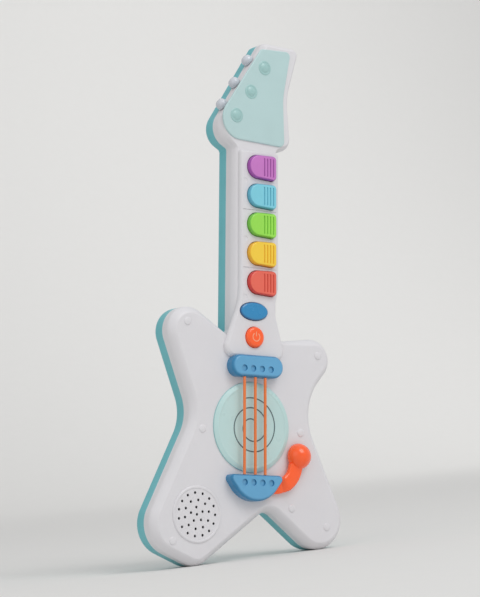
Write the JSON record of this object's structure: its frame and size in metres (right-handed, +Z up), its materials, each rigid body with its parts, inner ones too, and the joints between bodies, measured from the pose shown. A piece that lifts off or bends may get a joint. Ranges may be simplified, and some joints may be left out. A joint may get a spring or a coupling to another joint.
{
  "type": "toy electric guitar",
  "caption": "Toy electric guitar with press keys on the neck, mode and power buttons, plucked strings, a lit disc, a sprung side lever and a loudspeaker; stands on its lobes.",
  "frame": {"origin": "ground point under the centre of the standing guitar's box", "axes": "+Z up, -Y out of the guitar's face, +X to the right as seen from the front; the neck leans from +Z toward +X because the guitar stands on its two lower lobes"},
  "size_m": [0.1924, 0.0404, 0.4278],
  "materials": {
    "shell_white": "moulded ABS, satin",
    "shell_teal": "moulded ABS, satin",
    "mint_plastic": "translucent moulded plastic",
    "purple_plastic": "moulded ABS",
    "sky_plastic": "moulded ABS",
    "green_plastic": "moulded ABS",
    "yellow_plastic": "moulded ABS",
    "red_plastic": "moulded ABS",
    "mode_blue": "moulded ABS",
    "orange_plastic": "moulded ABS",
    "bridge_blue": "moulded ABS",
    "string_rubber": "soft elastomer",
    "swirl_ink": "printed line",
    "mat_rubber": "silicone",
    "board": "glass-fibre circuit board",
    "lamp_plastic": "clear lens",
    "steel": "plated",
    "dark_plastic": "moulded",
    "cone_paper": "pressed paper",
    "cell_wrap": "plain wrapped cell"
  },
  "bodies": {
    "guitar": {"front_shell": "shell_white", "fretboard": "shell_white", "back_shell": "shell_teal", "headstock_panel": "mint_plastic", "tuning_pegs": "shell_white", "face_studs": "shell_white", "key_mat": "mat_rubber", "key_board": "board", "upper_bridge": "bridge_blue", "lower_bridge": "bridge_blue", "sound_disc": "mint_plastic", "disc_swirl": "swirl_ink", "disc_lamps": "lamp_plastic", "lamp_board": "board", "lever_screw": "steel", "speaker_grille": "shell_white", "speaker_frame": "dark_plastic", "speaker_cone": "cone_paper", "speaker_magnet": "steel", "battery_box": "dark_plastic", "battery_cells": "cell_wrap", "battery_contacts": "steel", "battery_door": "shell_teal", "door_screw": "steel", "shell_screws": "steel"},
    "key_purple": {"key_purple": "purple_plastic"},
    "key_sky": {"key_sky": "sky_plastic"},
    "key_green": {"key_green": "green_plastic"},
    "key_yellow": {"key_yellow": "yellow_plastic"},
    "key_red": {"key_red": "red_plastic"},
    "mode_button": {"mode_button": "mode_blue"},
    "power_button": {"power_button": "orange_plastic"},
    "string_left": {"string_left": "string_rubber"},
    "string_middle": {"string_middle": "string_rubber"},
    "string_right": {"string_right": "string_rubber"},
    "lever_arm": {"lever_arm": "orange_plastic"}
  },
  "joints": [
    {"name": "key_purple_press", "type": "slide", "parent": "guitar", "child": "key_purple", "axis": [0, 1, 0], "range_m": [0, 0.002], "stiffness_N_per_m": 500},
    {"name": "key_sky_press", "type": "slide", "parent": "guitar", "child": "key_sky", "axis": [0, 1, 0], "range_m": [0, 0.002], "stiffness_N_per_m": 500},
    {"name": "key_green_press", "type": "slide", "parent": "guitar", "child": "key_green", "axis": [0, 1, 0], "range_m": [0, 0.002], "stiffness_N_per_m": 500},
    {"name": "key_yellow_press", "type": "slide", "parent": "guitar", "child": "key_yellow", "axis": [0, 1, 0], "range_m": [0, 0.002], "stiffness_N_per_m": 500},
    {"name": "key_red_press", "type": "slide", "parent": "guitar", "child": "key_red", "axis": [0, 1, 0], "range_m": [0, 0.002], "stiffness_N_per_m": 500},
    {"name": "mode_button_press", "type": "slide", "parent": "guitar", "child": "mode_button", "axis": [0, 1, 0], "range_m": [0, 0.0012], "stiffness_N_per_m": 500},
    {"name": "power_button_press", "type": "slide", "parent": "guitar", "child": "power_button", "axis": [0, 1, 0], "range_m": [0, 0.0012], "stiffness_N_per_m": 500},
    {"name": "string_left_pluck", "type": "slide", "parent": "guitar", "child": "string_left", "axis": [0.9925, 0, -0.1221], "range_m": [-0.0015, 0.0015], "stiffness_N_per_m": 300},
    {"name": "string_middle_pluck", "type": "slide", "parent": "guitar", "child": "string_middle", "axis": [0.9925, 0, -0.1221], "range_m": [-0.0015, 0.0015], "stiffness_N_per_m": 300},
    {"name": "string_right_pluck", "type": "slide", "parent": "guitar", "child": "string_right", "axis": [0.9925, 0, -0.1221], "range_m": [-0.0015, 0.0015], "stiffness_N_per_m": 300},
    {"name": "lever_swing", "type": "hinge", "parent": "guitar", "child": "lever_arm", "pos_m": [0.0055, -0.00925, 0.05781], "axis": [0, 1, 0], "range_deg": [-6, 6], "stiffness_Nm_per_rad": 1}
  ]
}
